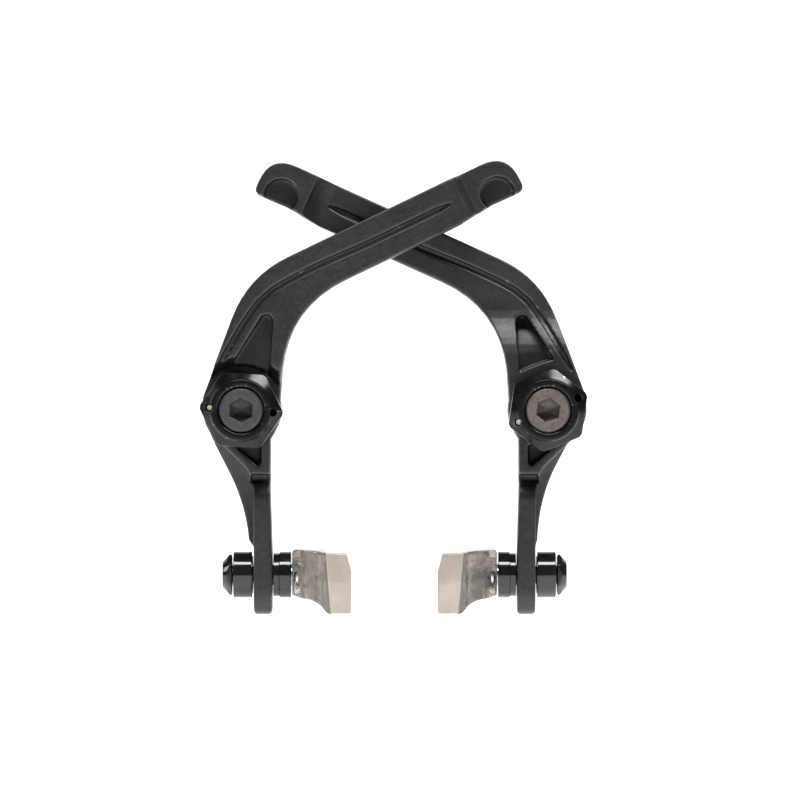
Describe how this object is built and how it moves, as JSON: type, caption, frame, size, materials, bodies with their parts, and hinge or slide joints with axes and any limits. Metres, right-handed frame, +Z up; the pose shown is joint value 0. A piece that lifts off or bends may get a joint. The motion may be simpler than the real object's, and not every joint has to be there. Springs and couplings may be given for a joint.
{
  "type": "u-brake arm pair",
  "caption": "Rim brake of two cranked arms that pivot on frame bosses and cross above the wheel, each with a slotted leg, a clear pad and a hexagonal spring collar.",
  "frame": {"origin": "midway between the two pivots, on the plane of the frame's bosses", "axes": "+X to the right seen from the front, +Y towards the bicycle frame, +Z up towards the cable-end tips"},
  "size_m": [0.1074, 0.05, 0.1266],
  "materials": {
    "arm_charcoal": "matte blasted charcoal, forged",
    "black_anodised": "gloss black anodised, turned",
    "bolt_black": "satin black oxide",
    "plated_steel": "zinc plated",
    "bronze": "plain bearing bronze",
    "seal_rubber": "matte",
    "spring_steel": "golden plated wire",
    "washer_black": "gloss black",
    "pad_urethane": "clear smoky cast urethane"
  },
  "bodies": {
    "pivot_set": {"left_pivot_sleeve": "plated_steel", "left_pivot_bolt": "bolt_black", "right_pivot_sleeve": "plated_steel", "right_pivot_bolt": "bolt_black"},
    "left_arm_body": {"left_arm": "arm_charcoal", "left_pivot_bushing": "bronze", "left_back_seal": "seal_rubber"},
    "left_collar_body": {"left_tension_collar": "black_anodised", "left_return_spring": "spring_steel"},
    "left_pad_slider": {"left_inner_convex_washer": "washer_black", "left_outer_convex_washer": "washer_black"},
    "left_pad_tilter": {"left_inner_cup_washer": "washer_black", "left_outer_cup_washer": "washer_black", "left_pad_nut": "washer_black"},
    "left_pad_body": {"left_pad_stud": "plated_steel", "left_pad_block": "pad_urethane"},
    "right_arm_body": {"right_arm": "arm_charcoal", "right_pivot_bushing": "bronze", "right_back_seal": "seal_rubber"},
    "right_collar_body": {"right_tension_collar": "black_anodised", "right_return_spring": "spring_steel"},
    "right_pad_slider": {"right_inner_convex_washer": "washer_black", "right_outer_convex_washer": "washer_black"},
    "right_pad_tilter": {"right_inner_cup_washer": "washer_black", "right_outer_cup_washer": "washer_black", "right_pad_nut": "washer_black"},
    "right_pad_body": {"right_pad_stud": "plated_steel", "right_pad_block": "pad_urethane"}
  },
  "joints": [
    {"name": "left_arm_swing", "type": "hinge", "parent": "pivot_set", "child": "left_arm_body", "pos_m": [-0.0425, -0.0065, 0], "axis": [0, -1, 0], "range_deg": [-7, 7], "stiffness_Nm_per_rad": 1, "deforming": ["left_return_spring"]},
    {"name": "left_collar_turn", "type": "hinge", "parent": "pivot_set", "child": "left_collar_body", "pos_m": [-0.0425, -0.0213, 0], "axis": [0, -1, 0], "range_deg": [-20, 20], "deforming": ["left_return_spring"]},
    {"name": "left_pad_height", "type": "slide", "parent": "left_arm_body", "child": "left_pad_slider", "axis": [0, 0, 1], "range_m": [-0.002, 0.002]},
    {"name": "left_pad_toe_in", "type": "hinge", "parent": "left_pad_slider", "child": "left_pad_tilter", "pos_m": [-0.03675, -0.0075, -0.0461], "axis": [0, 0, 1], "range_deg": [-4, 4]},
    {"name": "left_pad_swivel", "type": "hinge", "parent": "left_pad_tilter", "child": "left_pad_body", "pos_m": [-0.03675, -0.0075, -0.0461], "axis": [1, 0, 0], "range_deg": [-12, 12]},
    {"name": "right_arm_swing", "type": "hinge", "parent": "pivot_set", "child": "right_arm_body", "pos_m": [0.0425, -0.0065, 0], "axis": [0, 1, 0], "range_deg": [-7, 7], "stiffness_Nm_per_rad": 1, "deforming": ["right_return_spring"]},
    {"name": "right_collar_turn", "type": "hinge", "parent": "pivot_set", "child": "right_collar_body", "pos_m": [0.0425, -0.0213, 0], "axis": [0, 1, 0], "range_deg": [-20, 20], "deforming": ["right_return_spring"]},
    {"name": "right_pad_height", "type": "slide", "parent": "right_arm_body", "child": "right_pad_slider", "axis": [0, 0, 1], "range_m": [-0.002, 0.002]},
    {"name": "right_pad_toe_in", "type": "hinge", "parent": "right_pad_slider", "child": "right_pad_tilter", "pos_m": [0.03675, -0.0075, -0.0461], "axis": [0, 0, 1], "range_deg": [-4, 4]},
    {"name": "right_pad_swivel", "type": "hinge", "parent": "right_pad_tilter", "child": "right_pad_body", "pos_m": [0.03675, -0.0075, -0.0461], "axis": [1, 0, 0], "range_deg": [-12, 12]}
  ]
}
